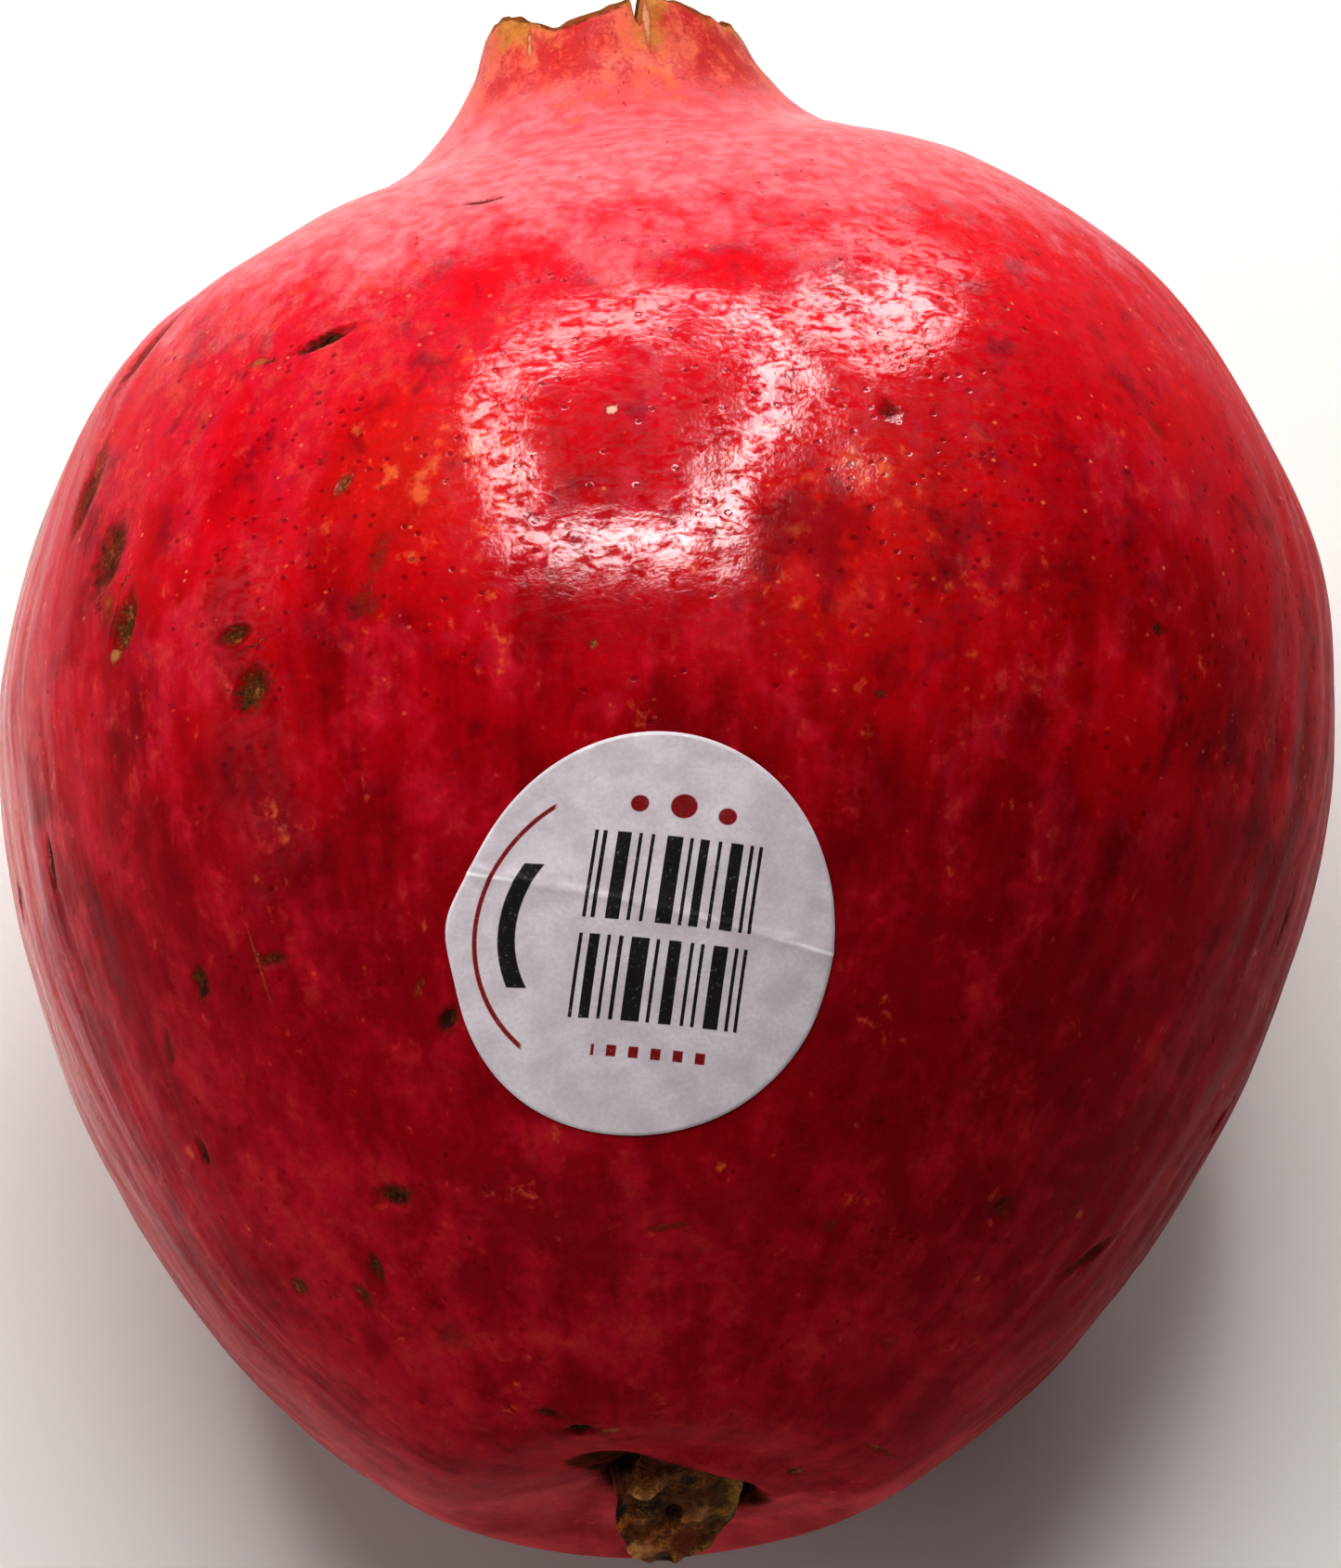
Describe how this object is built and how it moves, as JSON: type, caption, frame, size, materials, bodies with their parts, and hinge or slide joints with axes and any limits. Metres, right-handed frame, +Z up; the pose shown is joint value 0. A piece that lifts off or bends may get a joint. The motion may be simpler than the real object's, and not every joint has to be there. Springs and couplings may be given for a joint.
{
  "type": "pomegranate",
  "caption": "Whole ripe pomegranate lying on its side, with a low trimmed crown, a short stem stub in its pit and a small round paper sticker.",
  "frame": {"origin": "centre of the bounding box's bottom, on the surface that the fruit lies on", "axes": "+Z up from the surface, +Y the way the crown points seen from above, -Y the stem end, +X to the right seen from the stem end"},
  "size_m": [0.0948, 0.111, 0.0932],
  "materials": {
    "rind": "satin",
    "stem_wood": "matte",
    "dried_stamens": "matte",
    "dried_style": "matte",
    "sticker_paper": "satin"
  },
  "bodies": {
    "root": {"fruit": "rind", "stem_stub": "stem_wood", "stamens": "dried_stamens", "style": "dried_style", "fruit_sticker": "sticker_paper"}
  },
  "joints": []
}
